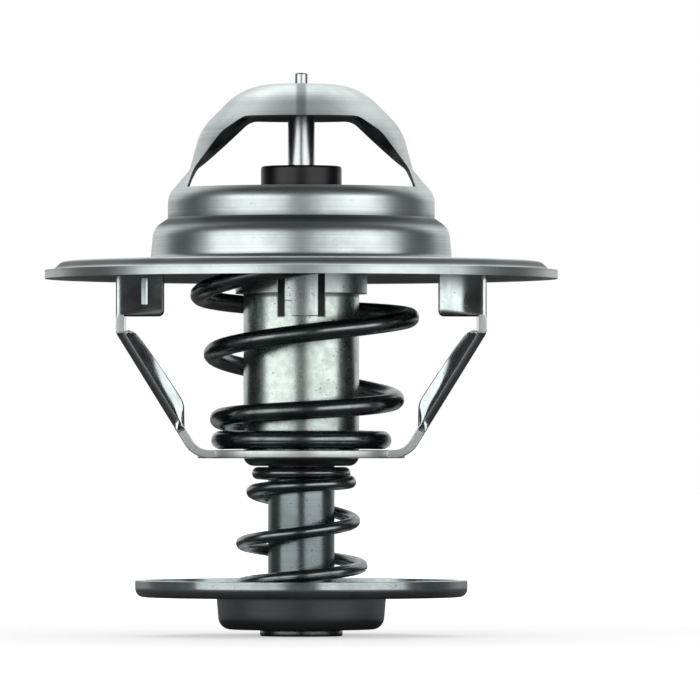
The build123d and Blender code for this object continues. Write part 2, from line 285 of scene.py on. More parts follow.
def broken_edges(corners: Sequence[Corner], bends: Sequence[float], arc_steps: int = 4) -> np.ndarray:
    """Draw a closed section with rounded corners and no edge on the axis.

    The line starts and ends in the middle of the closing run, so that every corner is an inner one.

    Args:
        corners: Corners of the section, in order.
        bends: Radius at each corner.
        arc_steps: Steps in each arc.

    Returns:
        Points of the section, in order.
    """
    spots = [tuple(corner) for corner in corners]
    middle = tuple((np.asarray(spots[0]) + np.asarray(spots[-1])) / 2)
    line = rounded_line([middle, *spots, middle], bends, 2, arc_steps)
    return line[:-1]


# Materials


class Streaks(Enum):
    """Ways in which the marks of a process run, each with its noise's detail and roughness."""

    DRAWN = ("up the wall and out over the flange", 3.0, 0.6)
    LATHE = ("round the axis", 2.0, 0.5)
    ROLLED = ("along the strip", 3.0, 0.55)
    WIRE = ("along the wire", 3.0, 0.6)


Value = "Wire | float"


def operator(operation: str, swapped: bool = False) -> Callable[["Wire", Value], "Wire"]:
    """Make an operator that adds a Math node.

    Args:
        operation: What the node does.
        swapped: Whether the other value comes before the wire.

    Returns:
        The operator, as a method for Wire.
    """
    def method(wire: "Wire", other: Value) -> "Wire":
        """Return the node's result."""
        return wire.graph.maths(operation, *((other, wire) if swapped else (wire, other)))

    return method


@dataclass(frozen=True)
class Wire:
    """An output socket, whose operators add Math nodes to its material."""

    graph: "Graph"
    socket: bpy.types.NodeSocket

    __add__ = __radd__ = operator("ADD")
    __sub__ = operator("SUBTRACT")
    __rsub__ = operator("SUBTRACT", swapped=True)
    __mul__ = __rmul__ = operator("MULTIPLY")
    __truediv__ = operator("DIVIDE")
    __pow__ = operator("POWER")


class Graph:
    """The node tree of a material or a world, built from expressions on its sockets."""

    def __init__(self, owner: bpy.types.Material | bpy.types.World) -> None:
        """Start with no nodes.

        Args:
            owner: The material or world.
        """
        self.owner = owner
        owner.use_nodes = True
        self.tree = owner.node_tree
        self.tree.nodes.clear()

    def node(
        self, kind: str, settings: Mapping[str, Any] | None = None,
        sockets: Mapping[Any, Any] | None = None,
    ) -> bpy.types.Node:
        """Add a node.

        Args:
            kind: Type of the node.
            settings: Its own settings, set before its sockets.
            sockets: Values or wires for its inputs, by name or number.

        Returns:
            The node.
        """
        node = self.tree.nodes.new(kind)
        for key, setting in (settings or {}).items():
            setattr(node, key, setting)
        for key, value in (sockets or {}).items():
            if isinstance(value, Wire):
                self.tree.links.new(value.socket, node.inputs[key])
            else:
                node.inputs[key].default_value = value
        return node

    def wire(self, node: bpy.types.Node, output: str | int = 0) -> Wire:
        """Return one of a node's outputs."""
        return Wire(self, node.outputs[output])

    def coordinates(self, kind: str) -> Wire:
        """Return the coordinates of the shaded point, such as "Object" or "UV"."""
        return self.wire(self.node("ShaderNodeTexCoord"), kind)

    def maths(self, operation: str, first: Value, second: Value = 0.0, clamp: bool = False) -> Wire:
        """Return the result of one Math node."""
        settings = {"operation": operation, "use_clamp": clamp}
        return self.wire(self.node("ShaderNodeMath", settings, {0: first, 1: second}))

    def split(self, vector: Wire) -> tuple[Wire, Wire, Wire]:
        """Return the three parts of a vector."""
        node = self.node("ShaderNodeSeparateXYZ", None, {0: vector})
        return self.wire(node, 0), self.wire(node, 1), self.wire(node, 2)

    def joined(self, x: Value, y: Value, z: Value) -> Wire:
        """Return a vector made of three parts."""
        return self.wire(self.node("ShaderNodeCombineXYZ", None, {0: x, 1: y, 2: z}))

    def noise(self, vector: Wire, scale: float, detail: float = 2.0, roughness: float = 0.5) -> Wire:
        """Return a noise over a vector, from 0 to 1."""
        sockets = {"Vector": vector, "Scale": scale, "Detail": detail, "Roughness": roughness}
        return self.wire(self.node("ShaderNodeTexNoise", None, sockets))

    def between(self, wire: Wire, low: float, high: float) -> Wire:
        """Return a value stretched so that low becomes 0 and high becomes 1, and held there."""
        sockets = {"Value": wire, "From Min": low, "From Max": high}
        return self.wire(self.node("ShaderNodeMapRange", {"interpolation_type": "SMOOTHSTEP"}, sockets))

    def edge(self, wire: Wire, place: float, softness: float) -> Wire:
        """Return 0 before a place and 1 after it, both in millimetres, with a soft change."""
        return self.between(wire, (place - softness) * MILLIMETRE, (place + softness) * MILLIMETRE)

    def mixed(self, factor: Value, first: Wire | Colour, second: Wire | Colour) -> Wire:
        """Mix two colours, by the Mix node's colour sockets 6, 7 and 2.

        Args:
            factor: From 0 for the first to 1 for the second.
            first: One colour.
            second: The other colour.

        Returns:
            The mixed colour.
        """
        sockets = {"Factor": factor}
        for key, colour in ((6, first), (7, second)):
            sockets[key] = colour if isinstance(colour, Wire) else (*colour, 1.0)
        return self.wire(self.node("ShaderNodeMix", {"data_type": "RGBA"}, sockets), 2)

    def bump(self, height: Wire, strength: float, distance: float) -> Wire:
        """Return a normal pushed in and out by a height."""
        sockets = {"Height": height, "Strength": strength, "Distance": distance}
        return self.wire(self.node("ShaderNodeBump", None, sockets))

    def finish(self, shader: bpy.types.Node) -> bpy.types.Material | bpy.types.World:
        """Join the shader to the output.

        Args:
            shader: The shader's node.

        Returns:
            The material or world.
        """
        kind = "Material" if isinstance(self.owner, bpy.types.Material) else "World"
        self.node(f"ShaderNodeOutput{kind}", None, {"Surface": self.wire(shader)})
        return self.owner


@dataclass(frozen=True)
class PaintedShadeRing:
    """Painted shade in a ring round the axis, such as in the corner of a step."""

    radius: float
    height: float
    spread: float
    amount: float
    core: float = 0.2

    def mask(self, graph: Graph, place: Wire) -> Wire:
        """Return the painted shade, which fades with the distance from the ring.

        Args:
            graph: The material's nodes.
            place: Object coordinates.

        Returns:
            From the amount in the ring's core to 0 at the spread.
        """
        x, y, z = graph.split(place)
        out = (x * x + y * y) ** 0.5 - self.radius * MILLIMETRE
        up = z - self.height * MILLIMETRE
        away = (out * out + up * up) ** 0.5
        spread = self.spread * MILLIMETRE
        return (1 - graph.between(away, spread * self.core, spread)) * self.amount


@dataclass(frozen=True)
class BandMark:
    """A dark upright band at front and back, between two distances to the side of the axis."""

    near: float
    far: float
    low: float
    high: float
    amount: float
    softness: float = 0.12

    def mask(self, graph: Graph, place: Wire) -> Wire:
        """Return the band, as the product of its four soft edges.

        Args:
            graph: The material's nodes.
            place: Object coordinates.

        Returns:
            From the amount in the band to 0 outside it.
        """
        x, _, z = graph.split(place)
        aside, soft = graph.maths("ABSOLUTE", x), self.softness
        starts = graph.edge(aside, self.near, soft) * graph.edge(z, self.low, soft)
        ends = (1 - graph.edge(aside, self.far, soft)) * (1 - graph.edge(z, self.high, soft))
        return starts * ends * self.amount


@dataclass(frozen=True)
class Patches:
    """Where a noise is high: its size in millimetres, and the values between which patches fade in."""

    size: float
    detail: float
    roughness: float
    low: float = 0.0
    high: float = 1.0

    def noise(self, graph: Graph, place: Wire) -> Wire:
        """Return the noise itself, from 0 to 1."""
        return graph.noise(place, 1 / (self.size * MILLIMETRE), self.detail, self.roughness)

    def mask(self, graph: Graph, noise: Wire) -> Wire:
        """Return 0 between the patches of a noise and 1 in them."""
        return graph.between(noise, self.low, self.high)


GRAIN = Patches(0.11, 2.0, 0.7)
SPECKS = Patches(0.35, 1.0, 0.4, 0.68, 0.78)
DUST = Patches(0.5, 2.0, 0.5, 0.62, 0.75)
# Scales along and round a wire, along a rolled strip and up a drawn wall, against 1 across the marks.
WIRE_SCALES = (0.35, 9.0)
ROLLED_SCALE = 0.04
DRAWN_SCALE = 0.06
# How far from the axis drawn marks have their own pitch, and what keeps the division by reach safe.
DRAWN_REACH = 14 * MILLIMETRE
NEVER_ZERO = 1e-9


@dataclass(frozen=True)
class MetalFinish:
    """A metal with the marks that its process left, stains, pits, a fine tooth, and dark rings and
    bands, most of which are painted shade.
    """

    name: str
    slot: str
    colour: Colour
    stain: Colour
    roughness: float
    streaks: Streaks
    streak_strength: float = 0.5
    streak_pitch: float = 0.12
    stain_size: float = 6.0
    stain_amount: float = 0.5
    pit_depth: float = 0.3
    roughness_swing: float = 0.12
    metallic: float = 1.0
    speck_amount: float = 0.3
    marks: tuple[PaintedShadeRing | BandMark, ...] = ()

    def streak_field(self, graph: Graph, place: Wire) -> Wire:
        """Return a noise drawn out along the marks of the process.

        DRAWN reads the direction from the axis, (x, y) / sqrt(x^2 + y^2), so that the marks run up a
        wall and out over a flange. LATHE reads only the height and the distance from the axis. ROLLED
        is slow along x and z and fast along y. WIRE reads the wire's own length and girth.

        Args:
            graph: The material's nodes.
            place: Object coordinates.

        Returns:
            The noise, from 0 to 1.
        """
        _, detail, roughness = self.streaks.value
        scale = 1 / (self.streak_pitch * MILLIMETRE)
        if self.streaks is Streaks.WIRE:
            along, girth, _ = graph.split(graph.coordinates("UV"))
            vector = graph.joined(along * WIRE_SCALES[0], girth * WIRE_SCALES[1], 0.0)
            return graph.noise(vector, 1.0, detail, roughness)
        x, y, z = graph.split(place)
        if self.streaks is Streaks.ROLLED:
            vector = graph.joined(x * ROLLED_SCALE, y, z * ROLLED_SCALE)
            return graph.noise(vector, scale, detail, roughness)
        reach = (x * x + y * y + NEVER_ZERO) ** 0.5
        if self.streaks is Streaks.LATHE:
            return graph.noise(graph.joined(reach, z, 0.0), scale, detail, roughness)
        vector = graph.joined(
            x / reach * DRAWN_REACH, y / reach * DRAWN_REACH, (z + reach) * DRAWN_SCALE
        )
        return graph.noise(vector, scale, detail, roughness)

    @cache
    def material(self) -> bpy.types.Material:
        """Build the material at its first use.

        Returns:
            The material, whose colour, roughness and normal vary over the surface.
        """
        streak_low, streak_high, streak_colour, streak_height = 0.35, 0.75, 0.35, 0.6
        dark_mark_and_shade_share, dark_mark_and_shade_roughness, grain_height = 0.35 * 0.25, 0.2, 0.35
        cloud_swing, streak_swing = 2.2 * self.roughness_swing, 1.4 * self.roughness_swing
        bump_strength, bump_depth = 0.35, 0.012 * MILLIMETRE
        graph = Graph(bpy.data.materials.new(self.name))
        place = graph.coordinates("Object")
        streak = self.streak_field(graph, place)
        stains = Patches(self.stain_size, 5.0, 0.62, 0.42, 0.72)
        cloud, grain = stains.noise(graph, place), GRAIN.noise(graph, place)
        specks = SPECKS.mask(graph, SPECKS.noise(graph, place))
        stained = stains.mask(graph, cloud) * self.stain_amount
        marked = graph.between(streak, streak_low, streak_high) * (streak_colour * self.streak_strength)
        base = graph.mixed(graph.maths("ADD", stained, marked, clamp=True), self.colour, self.stain)
        specks_marks_and_painted_shade = specks * self.speck_amount
        # The rings and the capsule's band are painted shade; with the specks they darken the colour and
        # raise the roughness.
        for mark in self.marks:
            specks_marks_and_painted_shade = graph.maths("MAXIMUM", specks_marks_and_painted_shade, mark.mask(graph, place))
        colour = graph.mixed(specks_marks_and_painted_shade, base, tuple(part * dark_mark_and_shade_share for part in self.stain))
        swing = (cloud - 0.5) * cloud_swing + (streak - 0.5) * (streak_swing * self.streak_strength)
        rough = graph.maths("ADD", swing + specks_marks_and_painted_shade * dark_mark_and_shade_roughness, self.roughness, clamp=True)
        height = streak * (streak_height * self.streak_strength) + grain * grain_height
        shader = graph.node("ShaderNodeBsdfPrincipled", None, {
            "Base Color": colour,
            "Metallic": self.metallic,
            "Roughness": rough,
            "Normal": graph.bump(height - specks * self.pit_depth, bump_strength, bump_depth),
        })
        return graph.finish(shader)


@dataclass(frozen=True)
class MouldedFinish:
    """Rubber, plastic or wax, with a soft bloom, dust and a fine moulded grain."""

    name: str
    slot: str
    colour: Colour
    bloom: Colour
    roughness: float
    grain_size: float = 0.25
    grain_depth: float = 0.02
    bloom_amount: float = 0.4
    dust_amount: float = 0.25
    cloud_swing: float = 0.2
    grain_swing: float = 0.1
    bump_strength: float = 0.4

    @cache
    def material(self) -> bpy.types.Material:
        """Build the material at its first use.

        Returns:
            The material, whose colour, roughness and normal vary over the surface.
        """
        graph = Graph(bpy.data.materials.new(self.name))
        place = graph.coordinates("Object")
        blooms, grains = Patches(3.5, 5.0, 0.6, 0.4, 0.75), Patches(self.grain_size, 3.0, 0.6)
        cloud, grain = blooms.noise(graph, place), grains.noise(graph, place)
        dust = DUST.mask(graph, DUST.noise(graph, place)) * self.dust_amount
        bloomed = blooms.mask(graph, cloud) * self.bloom_amount
        colour = graph.mixed(graph.maths("ADD", bloomed, dust, clamp=True), self.colour, self.bloom)
        swing = (cloud - 0.5) * self.cloud_swing + (grain - 0.5) * self.grain_swing
        shader = graph.node("ShaderNodeBsdfPrincipled", None, {
            "Base Color": colour,
            "Roughness": graph.maths("ADD", swing, self.roughness, clamp=True),
            "Normal": graph.bump(grain, self.bump_strength, self.grain_depth * MILLIMETRE),
        })
        return graph.finish(shader)


Finish = MetalFinish | MouldedFinish

DRAWN_STEEL = MetalFinish(
    "drawn_steel", "drawn_steel", (0.68, 0.75, 0.745), (0.34, 0.39, 0.39), 0.34,
    Streaks.LATHE, streak_strength=0.8, streak_pitch=0.22, stain_amount=0.3, speck_amount=0.15,
    marks=(
        # The rings are painted shade: in the corner of the neck's step, in the bend at the flange's rim
        # and at the foot of the neck. The band is a dark upright stripe down the middle of the bridge,
        # front and back.
        PaintedShadeRing(14.75, 6.0, 1.3, 0.88), PaintedShadeRing(25.65, 1.4, 0.8, 0.8), PaintedShadeRing(15.9, 1.8, 0.5, 0.6),
        BandMark(-1.0, 0.5, 16.6, 20.7, 0.5, 0.22),
    ),
)
# Painted shade: the inside of the housing and its windows' cut edges, the same steel as outside
# darkened as if in shade.
SHADED_INNER_STEEL = MetalFinish(
    "shaded_inner_steel", "drawn_steel", (0.10, 0.12, 0.125), (0.04, 0.05, 0.055), 0.45,
    Streaks.LATHE, streak_strength=0.8, streak_pitch=0.22, stain_amount=0.5,
)
STRIP_STEEL = MetalFinish(
    "strip_steel", "drawn_steel", (0.60, 0.66, 0.66), (0.22, 0.26, 0.27), 0.13,
    Streaks.ROLLED, streak_strength=0.6, stain_amount=0.40,
)
# Cut edges of the strip: a rougher, paler steel; the paler colour is partly a painted highlight on the
# edges.
CUT_STEEL_WITH_SHEEN = MetalFinish(
    "cut_steel_with_sheen", "drawn_steel", (0.80, 0.87, 0.86), (0.45, 0.50, 0.50), 0.42,
    Streaks.ROLLED, streak_strength=0.4, stain_amount=0.3,
)
COLLAR_STEEL = MetalFinish(
    "collar_steel", "drawn_steel", (0.76, 0.83, 0.82), (0.36, 0.41, 0.41), 0.30,
    Streaks.DRAWN, streak_strength=0.7, stain_amount=0.3,
)
SPRING_STEEL = MetalFinish(
    "spring_steel", "spring_steel", (0.27, 0.30, 0.305), (0.06, 0.07, 0.075), 0.25,
    Streaks.WIRE, streak_strength=0.9, stain_amount=0.7, stain_size=4.0,
)
GROUND_STEEL = MetalFinish(
    "ground_steel", "pin_steel", (0.72, 0.77, 0.78), (0.42, 0.46, 0.47), 0.30,
    Streaks.LATHE, streak_strength=0.5, streak_pitch=0.07, stain_amount=0.25, roughness_swing=0.06,
)
TINNED_BRASS = MetalFinish(
    "tinned_brass", "capsule_brass", (0.66, 0.74, 0.70), (0.36, 0.42, 0.40), 0.27,
    Streaks.LATHE, streak_strength=0.25, streak_pitch=0.5, stain_amount=0.45, stain_size=1.6,
    roughness_swing=0.10, speck_amount=0.5, marks=(
        # Painted shade: the band darkens the collar's slots beside the tongues, one ring the capsule's
        # rounded bottom and the other the capsule just under the collar's lower edge.
        BandMark(1.72, 2.5, -4.1, 1.0, 0.97),
        PaintedShadeRing(5.9, -19.5, 1.4, 0.9), PaintedShadeRing(6.1, -1.7, 0.4, 0.6),
    ),
)
# A darker steel for the stem and the retainer; its darkness is partly painted shade from the bypass
# spring and the disc round the stem.
SHADED_STEM_STEEL = MetalFinish(
    "stem_steel", "stem_steel", (0.27, 0.315, 0.325), (0.09, 0.11, 0.115), 0.27,
    Streaks.LATHE, streak_strength=0.4, streak_pitch=0.15, stain_amount=0.4,
)
PRESSED_STEEL = MetalFinish(
    "pressed_steel", "disc_steel", (0.64, 0.71, 0.71), (0.22, 0.26, 0.265), 0.17,
    Streaks.LATHE, streak_strength=0.5, streak_pitch=0.2, stain_amount=0.4, roughness_swing=0.08,
)
TURNED_BRASS = MetalFinish(
    "turned_brass", "guide_brass", (0.78, 0.62, 0.32), (0.42, 0.30, 0.13), 0.25,
    Streaks.LATHE, streak_strength=0.6, streak_pitch=0.12, stain_amount=0.35,
)
BLACK_PLASTIC = MouldedFinish(
    "black_plastic", "black_plastic", (0.006, 0.006, 0.009), (0.018, 0.019, 0.024), 0.36, 0.30, 0.008
)
BLACK_RUBBER = MouldedFinish(
    "black_rubber", "black_rubber", (0.012, 0.012, 0.013), (0.040, 0.040, 0.042), 0.62, 0.22, 0.02
)
WHITE_PLASTIC = MouldedFinish(
    "white_plastic", "white_plastic", (0.78, 0.77, 0.74), (0.62, 0.61, 0.57), 0.42, 0.30, 0.008
)
CARTRIDGE_WAX = MouldedFinish(
    "cartridge_wax", "wax", (0.62, 0.42, 0.22), (0.74, 0.60, 0.40), 0.50, 0.8, 0.05
)


@dataclass(frozen=True)
class Dress:
    """What a finished piece wears and how it is held."""

    body: str
    finish: Finish
    replaced: tuple[str, ...]
    edge_break: float = 0.0
    crease: float = 38.0
    second_finish: Finish | None = None
    second_faces: FaceChoice | None = None


def chosen_faces(mesh: bpy.types.Mesh, choice: FaceChoice) -> np.ndarray:
    """Return which faces a rule picks.

    Args:
        mesh: The mesh, in metres.
        choice: The rule, which takes the middles of the faces in millimetres and their normals.

    Returns:
        True for each face that the rule picks.
    """
    centres, normals = (np.empty(len(mesh.polygons) * 3, np.float32) for _ in range(2))
    mesh.polygons.foreach_get("center", centres)
    mesh.polygons.foreach_get("normal", normals)
    return choice(centres.reshape(-1, 3) / MILLIMETRE, normals.reshape(-1, 3))


def make_piece(name: str, surface: Surface, dress: Dress) -> bpy.types.Object:
    """Put a surface into a mesh, dress it, and let it ride on its body.

    Args:
        name: Name of the piece.
        surface: Its points and faces, in millimetres.
        dress: Its finish, its body and the CAD nodes that it stands for.

    Returns:
        The object, which sits at the origin.
    """
    mesh = bpy.data.meshes.new(name)
    mesh.from_pydata((surface.points * MILLIMETRE).tolist(), [], surface.faces)
    mesh.polygons.foreach_set("use_smooth", np.ones(len(mesh.polygons), bool))
    mesh.set_sharp_from_angle(angle=math.radians(dress.crease))
    if surface.corner_uv is not None:
        layer = mesh.uv_layers.new(name="wire")
        layer.data.foreach_set("uv", surface.corner_uv.astype(np.float32).reshape(-1))
    mesh.update()
    piece = bpy.data.objects.new(name, mesh)
    bpy.context.collection.objects.link(piece)
    mesh.materials.append(dress.finish.material())
    if dress.second_finish is not None:
        mesh.materials.append(dress.second_finish.material())
        chosen = chosen_faces(mesh, dress.second_faces)
        mesh.polygons.foreach_set("material_index", chosen.astype(np.int32))
    if dress.edge_break > 0:
        bevel = piece.modifiers.new("edge_break", "BEVEL")
        bevel.width = dress.edge_break * MILLIMETRE
        bevel.segments = 2
        bevel.limit_method = "ANGLE"
        bevel.angle_limit = math.radians(dress.crease)
        bevel.harden_normals = True
    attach(piece, dress.body)
    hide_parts(*dress.replaced)
    logger.info("%s: %d faces on %s", name, len(surface.faces), dress.body)
    return piece


# Sub-assemblies


@dataclass
class DrawnHousing:
    """Flange, stepped neck and dome drawn from one sheet, with two windows punched along Y."""

    sheet: float = 0.9
    corners: tuple[Corner, ...] = (
        (27.0, 0.9), (26.15, 0.9), (25.2, 1.8), (15.9, 1.8), (15.55, 5.3), (14.05, 6.35),
        (14.05, 8.75), (11.75, 11.45), (10.62, 15.7), (6.05, 20.32), (2.0, 20.5), (0.0, 20.5),
    )
    bends: tuple[float, ...] = (0.3, 1.0, 0.75, 2.0, 0.09, 2.2, 1.6, 6.0, 7.0, 8.0)
    window_outside: tuple[Corner, ...] = (
        (11.95, 9.5), (11.3, 11.5), (8.35, 15.3), (5.95, 16.9), (0.0, 16.9)
    )
    window_inside: tuple[Corner, ...] = (
        (11.95, 9.5), (10.95, 11.5), (8.0, 14.3), (5.36, 16.8), (0.0, 16.8)
    )
    window_bends: tuple[float, ...] = (2.5, 4.0, 2.0)
    window_steps: tuple[int, int] = (7, 8)
    nib_hole: float = 0.7
    sill_corner: int = 6
    crown_corner: int = 9
    leg_columns: int = 28
    gap_columns: int = 44
    arc_steps: int = 8
    run_steps: int = 5

    def rows(self) -> tuple[list[np.ndarray], list[np.ndarray], int, int]:
        """Lay out the rows of both faces.

        Below the windows and above them the rows follow the sheet's section. Beside the windows they
        lie at the heights of the points of the window's outline in that face. The outline is larger
        outside than inside, because the sheet was pierced before it was drawn.

        Returns:
            The (radius, height) rows of the outside and of the inside, half the window's width in
            each row of both, and the first and last row of the windows.
        """
        section = BentSheet(self.corners, self.bends, self.sheet, self.run_steps, self.arc_steps)
        stride = self.run_steps + self.arc_steps
        sill = self.sill_corner * stride + 1
        crown = self.crown_corner * stride - self.arc_steps
        beyond = section.face()[crown:, 0] > self.nib_hole
        lines, halves = [], []
        windows = (self.window_outside, self.window_inside)
        for line, window in zip((section.face(), section.back()), windows):
            edge = rounded_line(window, self.window_bends, *self.window_steps)
            half, height = edge[: int(np.argmax(edge[:, 1] >= window[-1][1] - TINY)) + 1].T
            radius, level = line[sill - 1:crown + 1].T
            beside = np.stack([np.interp(height, level, radius), height], axis=1)
            hole = [(self.nib_hole, line[-1, 1])]
            lines.append(np.concatenate([line[:sill], beside, line[crown:][beyond], hole]))
            above = np.full(len(lines[-1]) - sill - len(half), half[-1])
            halves.append(np.concatenate([np.full(sill, half[0]), half, above]))
        return lines, halves, sill, sill + len(half) - 1

    def columns(self, line: np.ndarray, half: np.ndarray, first: int, last: int) -> np.ndarray:
        """Spread the columns so that four of them follow the edges of the windows.

        A leg reaches to the angle acos(half width / radius) on each side of the X axis. Away from the
        windows the columns ease back to even steps.

        Args:
            line: Rows of one face, whose radius is at least half the window's width where it matters.
            half: Half the window's width in each row.
            first: First row of the windows.
            last: Last row of the windows.

        Returns:
            Angle of each column in each row.
        """
        leg = np.linspace(-1.0, 1.0, self.leg_columns + 1)[:-1]
        gap = np.linspace(0.0, 1.0, self.gap_columns + 1)[:-1]
        quarter = math.pi / 2

        def around(reach: np.ndarray | float) -> np.ndarray:
            """Place the columns of both legs and both gaps.

            Args:
                reach: Angle to which a leg reaches on each side of the X axis.

            Returns:
                Angle of each column.
            """
            return np.concatenate([
                part for turn in (0.0, math.pi)
                for part in (turn + leg * reach, turn + reach + gap * 2 * (quarter - reach))
            ], axis=-1)

        reach = np.arccos(np.clip(half / np.maximum(line[:, 0], TINY), 0.0, 1.0))[:, None]
        reach[:first] = reach[first]
        reach[last + 1:] = reach[last]
        own = around(reach)
        even = around(math.pi * self.leg_columns / (2 * (self.leg_columns + self.gap_columns)))
        row = np.arange(len(line))[:, None]
        below, above = (first - row) / first, (row - last) / (len(line) - 1 - last)
        return own + (even - own) * np.maximum(smooth_step(below), smooth_step(above))

    def surface(self) -> Surface:
        """Build both faces of the sheet and the cut edges between them.

        Where the inside of the dome lies within half the window's width, no inside is left on the
        leg, and its points gather on the line x = half width, y = 0.

        Returns:
            The closed surface.
        """
        (outside, inside), halves, first, last = self.rows()
        beside = slice(first, last + 1)
        inside[beside, 0] = np.maximum(inside[beside, 0], halves[1][beside])
        front = revolved(outside, self.columns(outside, halves[0], first, last))
        back = revolved(inside, self.columns(inside, halves[1], first, last))
        keep = np.ones((len(outside) - 1, front.shape[1]), bool)
        turn = self.leg_columns + self.gap_columns
        for start in (self.leg_columns, self.leg_columns + turn):
            keep[first:last, start:start + self.gap_columns] = False
        return shell(front, back, keep, wrapped=True)

    @staticmethod
    def inner_faces(centres: np.ndarray, normals: np.ndarray) -> np.ndarray:
        """Tell which faces of the neck and dome don't look outwards, along (x / r, y / r, 0.8).

        Args:
            centres: Middles of the faces, in millimetres.
            normals: Their normals.

        Returns:
            True for each face of the inside and of the windows' cut edges.
        """
        flange_top, least, lift = 1.5, 0.3, 0.8
        away = centres * np.array([1.0, 1.0, 0.0])
        away /= np.maximum(np.linalg.norm(away, axis=1, keepdims=True), TINY)
        away[:, 2] = lift
        return (np.sum(unit(away) * normals, axis=1) < least) & (centres[:, 2] > flange_top)

    def build(self) -> None:
        """Make the housing and dress it."""
        # The inside and the windows' cut edges get the steel darkened as painted shade.
        dress = Dress(
            "fixed_housing", DRAWN_STEEL, ("housing",),
            second_finish=SHADED_INNER_STEEL, second_faces=self.inner_faces,
        )
        make_piece("drawn_housing", self.surface(), dress)


